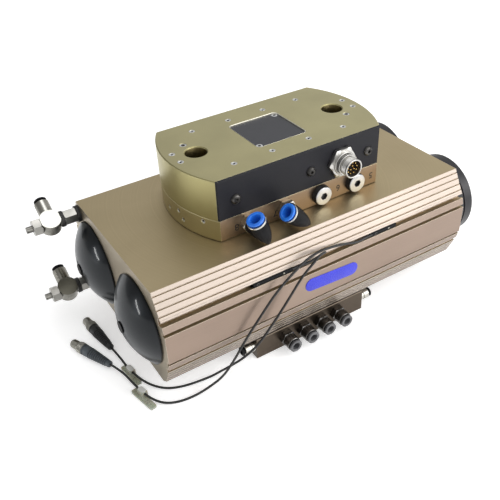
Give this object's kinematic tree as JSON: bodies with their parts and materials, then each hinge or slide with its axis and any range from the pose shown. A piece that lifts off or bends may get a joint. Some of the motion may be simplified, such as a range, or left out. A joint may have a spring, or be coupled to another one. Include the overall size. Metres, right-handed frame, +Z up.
{
  "type": "pneumatic swivel unit",
  "caption": "Rack-and-pinion pneumatic swivel unit: ribbed extruded housing, rotating head with air and electrical feed-through, flow-control valves and magnetic sensors with cables.",
  "frame": {"origin": "on the swivel axis, in the plane of the housing's underside, at the centre of its four base holes", "axes": "+X along the housing towards the flat caps, +Y to the back, +Z up along the swivel axis"},
  "size_m": [0.3705, 0.1954, 0.167],
  "materials": {
    "bronze_aluminium": "anodised, brushed",
    "gold_aluminium": "anodised, satin",
    "dark_aluminium": "anodised, satin",
    "black_aluminium": "anodised, satin",
    "plain_aluminium": "turned",
    "steel": "ground",
    "nickel": "nickel plated",
    "black_plastic": "moulded",
    "blue_plastic": "moulded",
    "grey_plastic": "moulded",
    "clear_plastic": "translucent",
    "black_rubber": "moulded"
  },
  "bodies": {
    "housing": {"housing": "bronze_aluminium", "bearing_outer_rings": "steel", "left_end_plugs": "plain_aluminium", "shock_absorbers": "steel", "front_dome_cap": "black_aluminium", "rear_dome_cap": "black_aluminium", "front_flat_cap": "black_aluminium", "rear_flat_cap": "black_aluminium", "distributor_spindle": "steel", "spindle_seals": "black_rubber", "manifold_block": "dark_aluminium", "manifold_screws": "steel", "manifold_fittings": "nickel", "manifold_end_fittings": "nickel", "valve_stems": "nickel", "valve_washers": "black_rubber", "magnetic_sensors": "black_plastic", "cable_clips": "clear_plastic", "left_sensor_cable": "black_rubber", "right_sensor_cable": "black_rubber", "left_cable_plug": "black_plastic", "right_cable_plug": "black_plastic"},
    "head": {"pinion": "steel", "bearing_inner_rings": "steel", "distributor_plate": "gold_aluminium", "plate_plugs": "steel", "head_block": "gold_aluminium", "head_screws": "steel", "head_dowels": "steel", "top_plate": "black_aluminium", "top_plate_screws": "steel", "front_cover": "black_aluminium", "cover_screws": "steel", "connector_shell": "nickel", "connector_insert": "black_plastic", "port_plugs": "nickel", "port_plug_seals": "black_rubber", "elbow_stems": "nickel"},
    "front_rack": {"front_rack": "steel", "front_rack_seals": "black_rubber"},
    "rear_rack": {"rear_rack": "steel", "rear_rack_seals": "black_rubber"},
    "left_elbow": {"left_elbow": "black_plastic"},
    "right_elbow": {"right_elbow": "black_plastic"},
    "left_elbow_ring": {"left_elbow_ring": "blue_plastic"},
    "right_elbow_ring": {"right_elbow_ring": "blue_plastic"},
    "left_end_ring": {"left_end_ring": "black_plastic"},
    "right_end_ring": {"right_end_ring": "black_plastic"},
    "manifold_ring_1": {"manifold_ring_1": "grey_plastic"},
    "manifold_ring_2": {"manifold_ring_2": "grey_plastic"},
    "manifold_ring_3": {"manifold_ring_3": "grey_plastic"},
    "manifold_ring_4": {"manifold_ring_4": "grey_plastic"},
    "upper_valve_body": {"upper_valve_body": "nickel"},
    "lower_valve_body": {"lower_valve_body": "nickel"},
    "upper_valve_ring": {"upper_valve_ring": "black_plastic"},
    "lower_valve_ring": {"lower_valve_ring": "black_plastic"},
    "upper_valve_adjuster": {"upper_valve_adjuster": "nickel"},
    "lower_valve_adjuster": {"lower_valve_adjuster": "nickel"},
    "left_plug_nut": {"left_plug_nut": "nickel"},
    "right_plug_nut": {"right_plug_nut": "nickel"}
  },
  "joints": [
    {"name": "head_swivel", "type": "hinge", "parent": "housing", "child": "head", "pos_m": [0, 0, 0.045], "axis": [0, 0, 1], "range_deg": [0, 180]},
    {"name": "front_rack_slide", "type": "slide", "parent": "housing", "child": "front_rack", "axis": [1, 0, 0], "range_m": [0, 0.0849]},
    {"name": "rear_rack_slide", "type": "slide", "parent": "housing", "child": "rear_rack", "axis": [1, 0, 0], "range_m": [-0.0849, 0]},
    {"name": "left_elbow_swivel", "type": "hinge", "parent": "head", "child": "left_elbow", "pos_m": [-0.0525, -0.074, 0.1018], "axis": [0, -1, 0], "range_deg": [0, 60]},
    {"name": "left_elbow_release", "type": "slide", "parent": "left_elbow", "child": "left_elbow_ring", "axis": [-0.4003, 0, 0.9164], "range_m": [-0.001, 0], "stiffness_N_per_m": 300},
    {"name": "right_elbow_swivel", "type": "hinge", "parent": "head", "child": "right_elbow", "pos_m": [-0.0175, -0.074, 0.1018], "axis": [0, -1, 0], "range_deg": [-20, 35]},
    {"name": "right_elbow_release", "type": "slide", "parent": "right_elbow", "child": "right_elbow_ring", "axis": [-0.7431, 0, 0.6691], "range_m": [-0.001, 0], "stiffness_N_per_m": 300},
    {"name": "manifold_release_1", "type": "slide", "parent": "housing", "child": "manifold_ring_1", "axis": [0, -1, 0], "range_m": [-0.001, 0], "stiffness_N_per_m": 300},
    {"name": "manifold_release_2", "type": "slide", "parent": "housing", "child": "manifold_ring_2", "axis": [0, -1, 0], "range_m": [-0.001, 0], "stiffness_N_per_m": 300},
    {"name": "manifold_release_3", "type": "slide", "parent": "housing", "child": "manifold_ring_3", "axis": [0, -1, 0], "range_m": [-0.001, 0], "stiffness_N_per_m": 300},
    {"name": "manifold_release_4", "type": "slide", "parent": "housing", "child": "manifold_ring_4", "axis": [0, -1, 0], "range_m": [-0.001, 0], "stiffness_N_per_m": 300},
    {"name": "left_end_release", "type": "slide", "parent": "housing", "child": "left_end_ring", "axis": [-1, 0, 0], "range_m": [-0.001, 0], "stiffness_N_per_m": 300},
    {"name": "right_end_release", "type": "slide", "parent": "housing", "child": "right_end_ring", "axis": [1, 0, 0], "range_m": [-0.001, 0], "stiffness_N_per_m": 300},
    {"name": "upper_valve_swivel", "type": "hinge", "parent": "housing", "child": "upper_valve_body", "pos_m": [-0.1755, 0.072, 0.08149], "axis": [1, 0, 0], "continuous": true},
    {"name": "upper_valve_release", "type": "slide", "parent": "upper_valve_body", "child": "upper_valve_ring", "axis": [0, 0.88, 0.475], "range_m": [-0.001, 0], "stiffness_N_per_m": 300},
    {"name": "upper_valve_adjust", "type": "hinge", "parent": "housing", "child": "upper_valve_adjuster", "pos_m": [-0.195, 0.072, 0.08149], "axis": [1, 0, 0], "continuous": true},
    {"name": "lower_valve_swivel", "type": "hinge", "parent": "housing", "child": "lower_valve_body", "pos_m": [-0.1755, 0.072, 0.00851], "axis": [1, 0, 0], "continuous": true},
    {"name": "lower_valve_release", "type": "slide", "parent": "lower_valve_body", "child": "lower_valve_ring", "axis": [0, 0.88, 0.475], "range_m": [-0.001, 0], "stiffness_N_per_m": 300},
    {"name": "lower_valve_adjust", "type": "hinge", "parent": "housing", "child": "lower_valve_adjuster", "pos_m": [-0.195, 0.072, 0.00851], "axis": [1, 0, 0], "continuous": true},
    {"name": "right_nut_turn", "type": "hinge", "parent": "housing", "child": "right_plug_nut", "pos_m": [-0.1742, -0.0153, -0.0162], "axis": [-0.3683, 0.9297, 0], "continuous": true},
    {"name": "left_nut_turn", "type": "hinge", "parent": "housing", "child": "left_plug_nut", "pos_m": [-0.1657, 0.0035, -0.0162], "axis": [-0.1144, 0.9934, 0], "continuous": true}
  ],
  "couplings": [
    {"joint": "front_rack_slide", "follows": "head_swivel", "m_per_rad": 0.027},
    {"joint": "rear_rack_slide", "follows": "head_swivel", "m_per_rad": -0.027}
  ]
}
